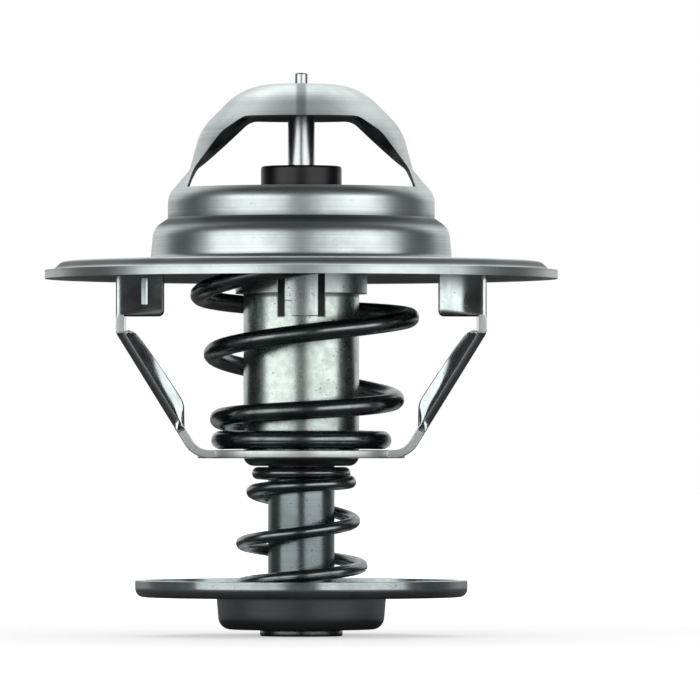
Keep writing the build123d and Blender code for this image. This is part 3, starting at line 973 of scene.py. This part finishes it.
@dataclass
class LowerFrame:
    """Bent strip with folded wings and stiffening lips, and the seat of the main spring."""

    sheet: float = 0.85
    half_width: float = 6.0
    leg_reach: float = 19.4
    leg_top: float = 0.9
    leg_bottom: float = -5.8
    foot_reach: float = 11.3
    bottom: float = -18.89
    strip_start: float = 8.0
    bends: Corner = (3.0, 1.5)
    run_steps: int = 60
    leg_thinning: int = 6
    wing_depth: float = 4.9
    wing_bottom: float = -3.87
    wing_round: float = 0.6
    slot_depths: Corner = (2.655, 3.305)
    slot_heights: Corner = (-2.8, -0.1)
    fold_round: float = 0.8
    wing_fold_round: float = 0.35
    plain_round: float = 0.1
    folded_depth: float = 0.5
    lip: tuple[Corner, ...] = (
        (0.0, 0.85), (0.03, 1.35), (0.067, 1.76), (0.20, 1.94), (0.42, 2.09), (0.58, 2.15),
        (0.625, 2.12), (0.66, 1.95), (0.78, 0.85),
    )
    bare_leg: float = 1.0
    seat_radii: Corner = (6.19, 10.9)
    seat_inset: float = 0.004
    seat_edge: float = 0.12
    front_wing_set: float = 0.6
    back_wing_set: float = 0.2
    lip_set: float = 0.07
    toe_set: float = 0.32
    toe_start: float = 0.25
    toe_run: float = 0.35
    tab_reach: float = 0.62
    tab_root: float = 0.05
    tab_depth: float = 0.15
    tab_fall: float = 0.38
    tab_bow: float = 0.1
    tab_sheet: float = 0.25

    def stations(self) -> tuple[np.ndarray, np.ndarray]:
        """Place the stations along the strip, from the seat up to the top of the right-hand leg.

        Returns:
            The strip's outer line and the matching points of its inner line.
        """
        corners = (
            (self.strip_start, self.bottom), (self.foot_reach, self.bottom),
            (self.leg_reach, self.leg_bottom), (self.leg_reach, self.leg_top),
        )
        strip = BentSheet(corners, self.bends, self.sheet, self.run_steps)
        outer, inner = strip.face(), strip.back()
        rounding = self.wing_bottom + self.wing_round * (1 - np.cos(np.linspace(0, math.pi / 2, 6)))
        leg = outer[:, 1] > self.wing_bottom - self.bare_leg
        heights = np.unique(np.concatenate([
            outer[leg, 1][::self.leg_thinning], rounding,
            (self.wing_bottom, *self.slot_heights, self.leg_top),
        ]))
        upper = np.stack([np.full(len(heights), self.leg_reach), heights], axis=1)
        upper_inner = upper - np.array([self.sheet, 0.0])
        return np.concatenate([outer[~leg], upper]), np.concatenate([inner[~leg], upper_inner])

    def downward(self, heights: np.ndarray) -> np.ndarray:
        """Return the share of the way down from the leg's bend to the crossbar."""
        return (heights - self.leg_bottom) / (self.bottom - self.leg_bottom)

    def lip_depths(self, heights: np.ndarray) -> np.ndarray:
        """Measure how deep the wing or lip is, from the strip's outer line.

        Args:
            heights: Heights, in millimetres.

        Returns:
            The depth at each height, which is the sheet's thickness where there is no lip.
        """
        places, depths = np.transpose(self.lip)
        lens = np.interp(self.downward(heights), places, depths, left=self.sheet, right=self.sheet)
        above = heights - self.wing_bottom
        short = np.clip(self.wing_round - above, 0, self.wing_round)
        wing = self.wing_depth - self.wing_round + np.sqrt(self.wing_round**2 - short**2)
        return np.where(above >= -TINY, wing, lens)

    def strip(self) -> Surface:
        """Build the right-hand half of the strip.

        A station's section runs from one lip's end over the fold, across the strip and back: on the
        outside (depth, y) goes from (lip depth, -w) round the fold to (0, -w + r) and over to +y, and
        on the inside it keeps one sheet's thickness from that. Wings and lips curl inwards by
        set * share^2, where the share is 1 at their free edge, and the lips more so towards their toe.

        Returns:
            The closed surface of the half.
        """
        outer, inner = self.stations()
        normal = (inner - outer) / self.sheet
        height = outer[:, 1:]
        depth = self.lip_depths(height)
        slot_shares = (np.array(self.slot_depths[::-1]) - self.sheet) / (self.wing_depth - self.sheet)
        share = np.array([1.0, 0.9, 0.75, *slot_shares, 0.3, 0.15, 0.0])
        lip_depth = self.sheet + (depth - self.sheet) * share
        winged = height > self.wing_bottom - TINY
        fold_round = np.where(winged, self.wing_fold_round, self.fold_round)
        lipped = smooth_step((depth - self.sheet) / self.folded_depth)
        round_radius = self.plain_round + (fold_round - self.plain_round) * lipped
        toe = smooth_step((self.downward(height) - self.toe_start) / self.toe_run)
        lip_set = self.lip_set + (self.toe_set - self.lip_set) * toe
        front_curl = np.where(winged, self.front_wing_set, lip_set) * share**2
        back_curl = np.where(winged, self.back_wing_set, lip_set) * share**2
        angle = np.linspace(0.0, math.pi / 2, 6)
        across = np.linspace(-1.0, 1.0, 13)[1:-1]

        def face(inset: float, radius: np.ndarray) -> np.ndarray:
            """Place one face of the sheet.

            Args:
                inset: How far it lies under the outside.
                radius: Radius of its folds at each station.

            Returns:
                Grid of points, stations by places across the section.
            """
            half = self.half_width - inset
            fold_depth = inset + radius * (1 - np.sin(angle))
            fold_side = half - radius * (1 - np.cos(angle))
            flat_side = (half - radius) * across
            flat_depth = np.full_like(flat_side, inset)
            depths = (lip_depth, fold_depth, flat_depth, fold_depth[:, ::-1], lip_depth[:, ::-1])
            sides = (
                front_curl - half, -fold_side, flat_side, fold_side[:, ::-1], half - back_curl[:, ::-1],
            )
            under = np.concatenate(depths, axis=1)
            x, z = outer[:, :1] + normal[:, :1] * under, height + normal[:, 1:] * under
            return np.stack([x, np.concatenate(sides, axis=1), z], axis=-1)

        front, back = face(0.0, round_radius), face(self.sheet, 0.0 * round_radius)
        keep = self.kept_cells(height[:, 0], depth[:, 0], len(share), front.shape[1])
        return shell(front, back, keep, wrapped=False)

    def kept_cells(
        self, heights: np.ndarray, depths: np.ndarray, lip_columns: int, columns: int
    ) -> np.ndarray:
        """Tell which cells are metal: no lip where it has no depth, and a slot in the back wing.

        Args:
            heights: Height of each station.
            depths: Depth of the wing or lip at each station.
            lip_columns: Points across a lip.
            columns: Points across the whole section.

        Returns:
            True for each cell of metal.
        """
        keep = np.ones((len(heights) - 1, columns - 1), bool)
        middle = (heights[:-1] + heights[1:]) / 2
        lipped = np.maximum(depths[:-1], depths[1:]) > self.sheet + TINY
        lipped &= (middle > self.wing_bottom) | (middle < self.leg_bottom + self.bare_leg)
        keep[:, :lip_columns - 1] = keep[:, 1 - lip_columns:] = lipped[:, None]
        low, high = self.slot_heights
        slot_column = -4
        keep[(middle > low) & (middle < high), slot_column] = False
        return keep

    def tab(self) -> Surface:
        """Build the tab that is bent inwards out of the slot in the right-hand leg's back wing.

        From the slot's edge nearest the axis the tab runs outwards by reach * s and inwards by
        fall * s + bow * s (1 - s), where s goes from 0 to 1.

        Returns:
            The closed surface.
        """
        s = np.linspace(0.0, 1.0, 7)
        heights = np.linspace(*self.slot_heights, 5)[:, None]
        x = self.leg_reach - self.slot_depths[1] - self.tab_root + (self.tab_reach + self.tab_root) * s
        y = self.half_width - self.tab_depth - self.tab_fall * s - self.tab_bow * s * (1 - s)
        front = np.stack(np.broadcast_arrays(x, y, heights), axis=-1)
        back = front - np.array([0.0, self.tab_sheet, 0.0])
        return shell(front, back, np.ones((len(heights) - 1, len(s) - 1), bool), False)

    def seat(self) -> Surface:
        """Build the flat ring round the capsule, a hair thinner than the strip that runs into it.

        Returns:
            The closed surface.
        """
        inner, outer = self.seat_radii
        low, high = self.bottom + self.seat_inset, self.bottom + self.sheet - self.seat_inset
        corners = ((inner, low), (outer, low), (outer, high), (inner, high))
        return turned(broken_edges(corners, (self.seat_edge,) * 4), 128)

    def cut_edges(self, centres: np.ndarray, normals: np.ndarray) -> np.ndarray:
        """Tell which faces are cut edges: upright ones under the lips, and those along Y over the lips.

        Args:
            centres: Middles of the faces, in millimetres.
            normals: Their normals.

        Returns:
            True for each face of a cut edge.
        """
        upright, square = 0.3, 0.9
        height = centres[:, 2]
        lip_end = self.leg_bottom + self.lip[-1][0] * (self.bottom - self.leg_bottom)
        between = (height > self.leg_bottom) & (height < self.wing_bottom)
        stands, along = np.abs(normals[:, 2]) < upright, np.abs(normals[:, 1]) > square
        return (between & along) | ((height < lip_end) & stands)

    def build(self) -> None:
        """Make the strip and its seat, and dress them as one piece."""
        half = self.strip().joined(self.tab())
        surface = half.joined(half.turned_half()).joined(self.seat())
        # The cut edges get the paler steel, which is partly a painted highlight.
        dress = Dress(
            "fixed_housing", STRIP_STEEL, ("lower_frame",), edge_break=0.06,
            second_finish=CUT_STEEL_WITH_SHEEN, second_faces=self.cut_edges,
        )
        make_piece("lower_frame_strip", surface, dress)


@dataclass(frozen=True)
class CoilSpring:
    """Conical spring whose pitch and width follow a table of turns."""

    name: str
    node: str
    body: str
    joint: str
    low: float
    high: float
    anchor: float
    travel: float
    wire: float
    base_radius: float
    top_radius: float
    start_turn: float
    turns: tuple[tuple[float, float, float], ...]
    bow: float = 0.0
    seat_gap: float = 0.1
    steps_per_turn: int = 44
    girth_steps: int = 20
    end_rounding: float = 0.18

    def eased(self, column: int, turn: np.ndarray) -> np.ndarray:
        """Read the table between its rows with cubic curves that lie level beside level rows.

        Between two rows the value is start + (end - start)(3 s^2 - 2 s^3) plus
        s (1 - s)((1 - s) m0 - s m1), where s is the share of the gap and m0 and m1 are the slopes at
        the two rows times the gap.

        Args:
            column: Column of the table to read.
            turn: Turns at which to read it.

        Returns:
            The value at each turn.
        """
        table = np.asarray(self.turns)
        places, values = table[:, 0], table[:, column]
        index = np.arange(len(table))
        before, after = np.maximum(index - 1, 0), np.minimum(index + 1, index[-1])
        level = (values[before] == values) | (values == values[after])
        slopes = (values[after] - values[before]) / (places[after] - places[before])
        slopes[level] = 0.0
        row = np.clip(np.searchsorted(places, turn, side="right") - 1, 0, len(table) - 2)
        gap = places[row + 1] - places[row]
        s = (turn - places[row]) / gap
        rise = (3 - 2 * s) * s * s
        bulge = s * (1 - s) * ((1 - s) * slopes[row] - s * slopes[row + 1]) * gap
        return values[row] + (values[row + 1] - values[row]) * rise + bulge

    def path(self) -> np.ndarray:
        """Work out the middle of the wire.

        At turn t the wire lies at the angle 2 pi (start + t), at the radius and height that the table
        gives, and the coil leans to +X by bow * sin(pi * share of the height).

        Returns:
            Its points, one row each.
        """
        turn = np.linspace(0.0, self.turns[-1][0], round(self.turns[-1][0] * self.steps_per_turn) + 1)
        share, widening = self.eased(1, turn), self.eased(2, turn)
        radius = self.base_radius + (self.top_radius - self.base_radius) * widening - self.wire / 2
        angle = 2 * math.pi * (self.start_turn + turn)
        lower = self.low + self.wire / 2 + self.seat_gap
        upper = self.high - self.wire / 2 - self.seat_gap
        lean = self.bow * np.sin(math.pi * share)
        height = lower + (upper - lower) * share
        return np.stack([radius * np.cos(angle) + lean, radius * np.sin(angle), height], axis=1)

    def surface(self) -> Surface:
        """Carry a circle along the path, square to it, with slightly rounded cut ends.

        The circle's own axes are the outward direction square to the path and the one square to both.

        Returns:
            The closed tube, with its length and girth as UV.
        """
        path = self.path()
        way = unit(np.gradient(path, axis=0))
        out = path * np.array([1.0, 1.0, 0.0])
        out = unit(out - way * np.sum(out * way, axis=1, keepdims=True))
        up = np.cross(way, out)
        end = self.end_rounding
        inset = np.concatenate([[0, 0], np.arange(1, len(path) - 1), [len(path) - 1] * 2])
        size = np.ones(len(inset))
        size[[0, -1]] = 1 - end
        shift = np.zeros(len(inset))
        shift[[1, -2]] = (end * self.wire / 2, -end * self.wire / 2)
        path, way, out, up = path[inset], way[inset], out[inset], up[inset]
        path = path + way * shift[:, None]
        angle = np.linspace(0, 2 * math.pi, self.girth_steps, endpoint=False)[None, :, None]
        ring = np.cos(angle) * out[:, None] + np.sin(angle) * up[:, None]
        points = path[:, None] + ring * (size * self.wire / 2)[:, None, None]
        rows, columns = points.shape[:2]
        i, j = np.meshgrid(np.arange(rows - 1), np.arange(columns), indexing="ij")
        corner_rows = np.stack([i, i, i + 1, i + 1], axis=-1).reshape(-1, 4)
        corner_columns = np.stack([j, j + 1, j + 1, j], axis=-1).reshape(-1, 4)
        quads = corner_rows * columns + corner_columns % columns
        length = np.concatenate([[0], np.cumsum(np.linalg.norm(np.diff(path, axis=0), axis=1))])
        tube_uv = np.stack([length[corner_rows], corner_columns / columns], axis=-1).reshape(-1, 2)
        first_end = np.arange(columns)[::-1]
        last_end = (rows - 1) * columns + np.arange(columns)
        faces = quads.tolist() + [first_end.tolist(), last_end.tolist()]
        end_uv = np.concatenate([np.zeros((columns, 2)), np.full((columns, 2), (length[-1], 0.0))])
        return Surface(points.reshape(-1, 3), faces, np.concatenate([tube_uv, end_uv]))

    def build(self) -> None:
        """Make the spring and dress it, and give it a mesh of its own."""
        dress = Dress(self.body, SPRING_STEEL, (self.node,), crease=60.0)
        spring = make_piece(self.name, self.surface(), dress)
        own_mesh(spring)


@dataclass(frozen=True)
class TurnedPiece:
    """A piece turned round the Z axis from a (radius, height) section with rounded corners."""

    name: str
    node: str
    body: str
    finish: Finish
    corners: tuple[Corner, ...]
    bends: tuple[float, ...]
    run_steps: int = 2
    arc_steps: int = 6
    columns: int = 96

    def build(self) -> None:
        """Make the piece and dress it. A section with a bend at each corner is a ring's."""
        if len(self.bends) == len(self.corners):
            section = broken_edges(self.corners, self.bends, self.arc_steps)
        else:
            section = rounded_line(self.corners, self.bends, self.run_steps, self.arc_steps)
        dress = Dress(self.body, self.finish, (self.node,))
        make_piece(self.name, turned(section, self.columns), dress)


@dataclass(frozen=True)
class WaxElement:
    """Capsule, cap, stem and pin: what pushes the valve open."""

    pieces: tuple[TurnedPiece, ...] = (
        TurnedPiece(
            "ground_pin", "piston_pin", "fixed_housing", GROUND_STEEL,
            ((0.0, -9.0), (1.415, -9.0), (1.415, 19.6), (0.67, 19.6), (0.67, 21.7), (0.0, 21.7)),
            (0.5, 0.12, 0.05, 0.2), run_steps=4, arc_steps=5,
        ),
        TurnedPiece(
            "drawn_capsule", "wax_capsule", "wax_element", TINNED_BRASS,
            (
                (0.0, -19.7), (6.09, -19.7), (6.09, 5.156), (7.7, 5.156), (7.7, 7.956), (6.3, 7.956),
                (6.3, 7.356), (7.0, 7.356), (7.0, 5.856), (5.39, 5.856), (5.39, -19.0), (0.0, -19.0),
            ),
            (1.1, 0.05, 0.2, 0.5, 0.2, 0.05, 0.05, 0.05, 0.05, 0.75), run_steps=6,
        ),
        TurnedPiece(
            "neck_cap", "guide_cap", "wax_element", BLACK_PLASTIC,
            ((1.495, 10.95), (3.25, 10.95), (3.25, 8.3), (4.25, 8.3), (4.25, 11.85), (1.495, 11.85)),
            (0.05, 0.05, 0.15, 0.15, 0.3, 0.2),
        ),
        TurnedPiece(
            "turned_stem", "bypass_stem", "wax_element", SHADED_STEM_STEEL,
            ((0.0, -37.6), (2.4, -37.6), (2.4, -36.9), (3.5, -36.9), (3.5, -19.7), (0.0, -19.7)),
            (0.15, 0.02, 0.15, 0.02), run_steps=5, arc_steps=4,
        ),
        TurnedPiece(
            "stem_retainer", "retainer", "wax_element", SHADED_STEM_STEEL,
            ((2.43, -37.6), (4.35, -37.6), (4.35, -36.9), (2.43, -36.9)),
            (0.08, 0.16, 0.12, 0.05), arc_steps=4,
        ),
    )

    def build(self) -> None:
        """Make the pieces in order."""
        for piece in self.pieces:
            piece.build()


@dataclass
class MainValve:
    """Drawn plate with a collar and two tongues, and the rubber ring on its rim."""

    sheet: float = 0.8
    plate_radius: float = 13.5
    plate_top: float = 5.156
    bore: float = 6.14
    collar_bend: float = 1.3
    collar_bottom: float = -1.6
    slot_top: float = 0.4
    notch_top: float = -2.4
    tongue_bottom: float = -4.0
    tongue_edge: float = 1.75
    slot_edge: float = 2.45
    notch_edge: float = 1.05
    rim_ring: TurnedPiece = TurnedPiece(
        "rim_ring", "valve_seal", "wax_element", BLACK_RUBBER,
        (
            (12.9, 3.456), (14.2, 3.456), (14.2, 5.096), (13.4, 5.656), (12.9, 5.656),
            (12.9, 5.156), (13.5, 5.156), (13.5, 4.356), (12.9, 4.356),
        ),
        (0.25, 0.5, 0.3, 0.3, 0.2, 0.02, 0.02, 0.02, 0.02), columns=128,
    )

    def columns(self, radius: np.ndarray) -> np.ndarray:
        """Spread the columns so that some follow the upright edges of the slots, at |x| = asin(x / r).

        Args:
            radius: Radius of each row.

        Returns:
            Angle of each column in each row, from the front round to the right.
        """
        near = np.array([0.0, 0.35, 0.7, self.notch_edge, 1.4, self.tongue_edge, 2.1, self.slot_edge])
        held = np.arcsin(near[None, :] / radius[:, None])
        rest = held[:, -1:] + (math.pi / 2 - held[:, -1:]) * np.linspace(0, 1, 15)[None, 1:-1]
        right = np.concatenate([held, rest], axis=1)
        front_half = np.concatenate([right, math.pi - right[:, ::-1]], axis=1)
        front_half = np.insert(front_half, right.shape[1], math.pi / 2, axis=1)[:, :-1]
        return np.concatenate([front_half, front_half + math.pi], axis=1) - math.pi / 2

    def valve(self) -> Surface:
        """Build the plate, the collar and the tongues, and cut the slots and notches through.

        Returns:
            The closed surface.
        """
        corners = ((self.plate_radius, self.plate_top), (self.bore, self.plate_top), (self.bore, 2.0))
        plate = BentSheet(corners, (self.collar_bend,), self.sheet, 8, 8)
        heights = np.array([
            1.2, self.slot_top, -0.6, self.collar_bottom, self.notch_top, -3.2, self.tongue_bottom,
        ])
        faces = []
        for line, radius in ((plate.back(), self.bore + self.sheet), (plate.face(), self.bore)):
            wall = np.stack([np.full(len(heights), radius), heights], axis=1)
            rows = np.concatenate([line, wall])
            faces.append(revolved(rows, self.columns(np.minimum(rows[:, 0], radius))))
        front, back = faces
        x, y, _ = np.moveaxis((front[:-1] + np.roll(front, -1, axis=1)[:-1]) / 2, -1, 0)
        aside, low = np.abs(x), front[1:, :, 2] + TINY
        on_tongue = aside < self.tongue_edge
        slot = (aside > self.tongue_edge) & (aside < self.slot_edge)
        notch = on_tongue & (aside > self.notch_edge) & (x * y > 0)
        keep = (low >= self.collar_bottom) | on_tongue
        keep &= ~(slot & (low < self.slot_top)) & ~(notch & (low < self.notch_top))
        return shell(front, back, keep, wrapped=True)

    def build(self) -> None:
        """Make the valve and its rubber ring and dress them."""
        dress = Dress("wax_element", COLLAR_STEEL, ("main_valve",), edge_break=0.07)
        make_piece("valve_plate", self.valve(), dress)
        self.rim_ring.build()


@dataclass
class BypassValve:
    """Pressed disc with a turned-up rim and a cup for the spring's foot."""

    sheet: float = 0.8
    rim_inside: float = 16.7
    rim_top: float = -31.7
    top: float = -32.7
    bore: float = 3.6
    cup_mouth: float = 8.2
    cup_floor_radius: float = 7.9
    cup_floor: float = -36.1
    bends: tuple[float, ...] = (0.1, 0.9, 0.5)

    def disc(self) -> np.ndarray:
        """Draw the section of the disc, along its upper face and back along its lower one.

        Returns:
            Points of the closed section, one row each.
        """
        corners = (
            (self.rim_inside, self.rim_top), (self.rim_inside, self.top), (self.cup_mouth, self.top),
            (self.cup_floor_radius, self.cup_floor), (self.bore, self.cup_floor),
        )
        sheet = BentSheet(corners, self.bends, self.sheet, 6, 8)
        return np.concatenate([sheet.face(), sheet.back()[::-1]])

    def build(self) -> None:
        """Make the disc and dress it."""
        dress = Dress("bypass_valve", PRESSED_STEEL, ("bypass_disc",), edge_break=0.08)
        make_piece("pressed_disc", turned(self.disc(), 144), dress)


@dataclass(frozen=True)
class Springs:
    """The main spring and the bypass spring."""

    main: CoilSpring = CoilSpring(
        name="main_coil", node="main_spring", body="fixed_housing", joint="valve_lift",
        low=-18.04, high=4.356, anchor=-18.04, travel=8.0, wire=1.93,
        base_radius=9.5, top_radius=12.6, start_turn=0.45, bow=0.7,
        turns=(
            (0.00, 0.000, 0.00), (0.60, 0.000, 0.00), (1.05, 0.110, 0.12), (1.55, 0.210, 0.30),
            (2.05, 0.446, 0.48), (2.55, 0.637, 0.74), (3.05, 0.752, 0.87), (3.30, 0.890, 0.94),
            (3.58, 1.000, 1.00), (4.25, 1.000, 1.00),
        ),
    )
    bypass: CoilSpring = CoilSpring(
        name="bypass_coil", node="bypass_spring", body="wax_element", joint="bypass_slide",
        low=-36.1, high=-19.7, anchor=-19.7, travel=5.0, wire=1.3,
        base_radius=7.0, top_radius=5.2, start_turn=0.0,
        turns=(
            (0.00, 0.000, 0.00), (0.50, 0.000, 0.00), (1.00, 0.110, 0.00), (1.50, 0.215, 0.00),
            (2.00, 0.345, 0.00), (2.50, 0.505, 0.06), (3.00, 0.665, 0.44), (3.50, 0.868, 0.67),
            (4.00, 0.938, 0.67), (4.50, 1.000, 1.00), (5.10, 1.000, 1.00),
        ),
    )

    def build(self) -> None:
        """Make both springs."""
        self.main.build()
        self.bypass.build()


@dataclass(frozen=True)
class HiddenPieces:
    """CAD nodes inside the element, whose shape is right and which only need their finish."""

    finishes: tuple[tuple[str, Finish], ...] = (
        ("piston_guide", TURNED_BRASS),
        ("rubber_boot", BLACK_RUBBER),
        ("backing_ring", WHITE_PLASTIC),
        ("wax_charge", CARTRIDGE_WAX),
    )

    def build(self) -> None:
        """Dress the nodes."""
        for name, finish in self.finishes:
            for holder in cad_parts[name].material_slots:
                holder.material = finish.material()
            logger.info("%s: dressed in %s", name, finish.name)


# Studio


@dataclass(frozen=True)
class Lamp:
    """A soft lamp: its angles in degrees, its distance in millimetres, and its size in metres."""

    name: str
    azimuth: float
    height: float
    distance: float
    width: float
    tall: float
    power: float

    def build(self, middle: np.ndarray) -> None:
        """Hang the lamp at its distance from the middle of the object and turn it there.

        Args:
            middle: The middle, in millimetres.
        """
        turn, rise = math.radians(self.azimuth), math.radians(self.height)
        way = (math.sin(turn) * math.cos(rise), -math.cos(turn) * math.cos(rise), math.sin(rise))
        data = bpy.data.lights.new(self.name, "AREA")
        data.shape = "RECTANGLE"
        data.size, data.size_y = self.width, self.tall
        data.energy = self.power
        lamp = bpy.data.objects.new(self.name, data)
        lamp.location = (middle + np.array(way) * self.distance) * MILLIMETRE
        lamp.rotation_euler = (math.pi / 2 - rise, 0.0, turn)
        lamp.visible_camera = False
        bpy.context.collection.objects.link(lamp)


@dataclass
class Studio:
    """Floor, lamps, surroundings and the camera at the photograph's angle."""

    middle: Colour = (0.0, 0.0, -8.0)
    floor_level: float = -37.6
    floor_reach: float = 4000.0
    floor_points: int = 9
    floor_fade: Corner = (0.05, 0.30)
    floor_pale: Colour = (0.93, 0.93, 0.93)
    floor_worn: Colour = (0.90, 0.90, 0.90)
    floor_tooth: float = 900.0
    floor_wear: float = 0.2
    floor_roughness: float = 0.9
    near_glow: float = 0.5
    mirror_near: float = 0.07
    mirror_far: float = 0.30
    room_tilt: float = 0.6
    room_edge: Corner = (0.5, 0.85)
    room_dim: float = 0.02
    room_gain: float = 0.82
    room_fill: float = 0.35
    camera_distance: float = 900.0
    camera_height: float = -19.7
    camera_range: float = 20.0
    pixels_per_millimetre: float = 9.5
    image_size: float = 700.0
    axis_pixel: float = 301.3
    horizon_pixel: float = 466.0
    sensor: float = 36.0
    lamps: tuple[Lamp, ...] = (
        Lamp("left_lamp", -44.0, 6.0, 520.0, 0.66, 0.40, 1.40),
        Lamp("right_lamp", 44.0, 6.0, 520.0, 0.66, 0.40, 1.40),
        Lamp("back_lamp", 180.0, 50.0, 900.0, 0.80, 0.50, 0.85),
    )

    def floor(self) -> None:
        """Lay a flat grid under the end of the stem, on which the object stands at every pose."""
        side = np.linspace(-1.0, 1.0, self.floor_points) * self.floor_reach * MILLIMETRE
        x, y = np.meshgrid(side, side, indexing="ij")
        level = np.full_like(x, self.floor_level * MILLIMETRE)
        points = np.stack([x, y, level], axis=-1).reshape(-1, 3)
        number = np.arange(x.size).reshape(x.shape)
        quads = np.stack([number[:-1, :-1], number[1:, :-1], number[1:, 1:], number[:-1, 1:]], axis=-1)
        mesh = bpy.data.meshes.new("floor")
        mesh.from_pydata(points.tolist(), [], quads.reshape(-1, 4).tolist())
        mesh.materials.append(self.paper())
        floor = bpy.data.objects.new("floor", mesh)
        bpy.context.collection.objects.link(floor)
        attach(floor, "wax_element")

    def paper(self) -> bpy.types.Material:
        """Make the floor's paper, which glows for the camera and which metal sees as a dim room.

        Returns:
            The material.
        """
        graph = Graph(bpy.data.materials.new("floor_paper"))
        place, path = graph.coordinates("Object"), graph.node("ShaderNodeLightPath")
        x, y, _ = graph.split(place)
        away = graph.between((x * x + y * y) ** 0.5, *self.floor_fade)
        worn = graph.noise(place, self.floor_tooth, 3.0) * self.floor_wear
        pale = graph.mixed(worn, self.floor_pale, self.floor_worn)
        mirrored = graph.mixed(away, (self.mirror_near,) * 3, (self.mirror_far,) * 3)
        diffuse = graph.node("ShaderNodeBsdfPrincipled", None, {
            "Base Color": graph.mixed(graph.wire(path, "Is Glossy Ray"), pale, mirrored),
            "Roughness": self.floor_roughness,
        })
        glow = self.near_glow + away * (1 - self.near_glow)
        seen = graph.node("ShaderNodeEmission", None, {
            "Color": (1.0, 1.0, 1.0, 1.0), "Strength": graph.wire(path, "Is Camera Ray") * glow,
        })
        both = graph.node("ShaderNodeAddShader", None, {0: graph.wire(diffuse), 1: graph.wire(seen)})
        return graph.finish(both)

    def surroundings(self) -> None:
        """Give the camera a white backdrop, and metal a dim room that is paler behind and above."""
        graph = Graph(bpy.data.worlds.new("studio"))
        bpy.context.scene.world = graph.owner
        path = graph.node("ShaderNodeLightPath")
        _, y, z = graph.split(graph.coordinates("Generated"))
        room = graph.between(y + z * self.room_tilt, *self.room_edge) * self.room_gain + self.room_dim
        seen, gloss = graph.wire(path, "Is Camera Ray"), graph.wire(path, "Is Glossy Ray")
        strength = seen + (1 - seen) * (gloss * room + (1 - gloss) * self.room_fill)
        graph.finish(graph.node("ShaderNodeBackground", None, {
            "Color": (1.0, 1.0, 1.0, 1.0), "Strength": strength,
        }))

    def camera(self) -> None:
        """Set the camera level, with the frame shifted to where the photograph has the object."""
        data = bpy.data.cameras.new("camera")
        data.sensor_width = self.sensor
        data.lens = self.sensor * self.pixels_per_millimetre * self.camera_distance / self.image_size
        data.shift_x = (self.image_size / 2 - self.axis_pixel) / self.image_size
        data.shift_y = (self.horizon_pixel - self.image_size / 2) / self.image_size
        data.clip_end = self.camera_range
        camera = bpy.data.objects.new("camera", data)
        camera.location = (0.0, -self.camera_distance * MILLIMETRE, self.camera_height * MILLIMETRE)
        camera.rotation_euler = (math.pi / 2, 0.0, 0.0)
        bpy.context.collection.objects.link(camera)
        bpy.context.scene.camera = camera

    def build(self) -> None:
        """Set up the whole studio."""
        self.floor()
        self.surroundings()
        for lamp in self.lamps:
            lamp.build(np.array(self.middle))
        self.camera()
        bpy.context.scene.view_settings.view_transform = "Standard"
        logger.info("studio: %d lamps", len(self.lamps))


def write_sizes() -> None:
    """Bring the view layer up to date."""
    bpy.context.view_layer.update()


def main() -> None:
    """Build the pieces in order and set up the studio."""
    logging.basicConfig(level=logging.INFO, format="%(message)s")
    assemblies = (
        DrawnHousing(), LowerFrame(), WaxElement(), MainValve(), BypassValve(), Springs(),
        HiddenPieces(),
    )
    for assembly in assemblies:
        assembly.build()
        logger.info("%s done", type(assembly).__name__)
    Studio().build()
    write_sizes()


if __name__ == "__main__":
    main()
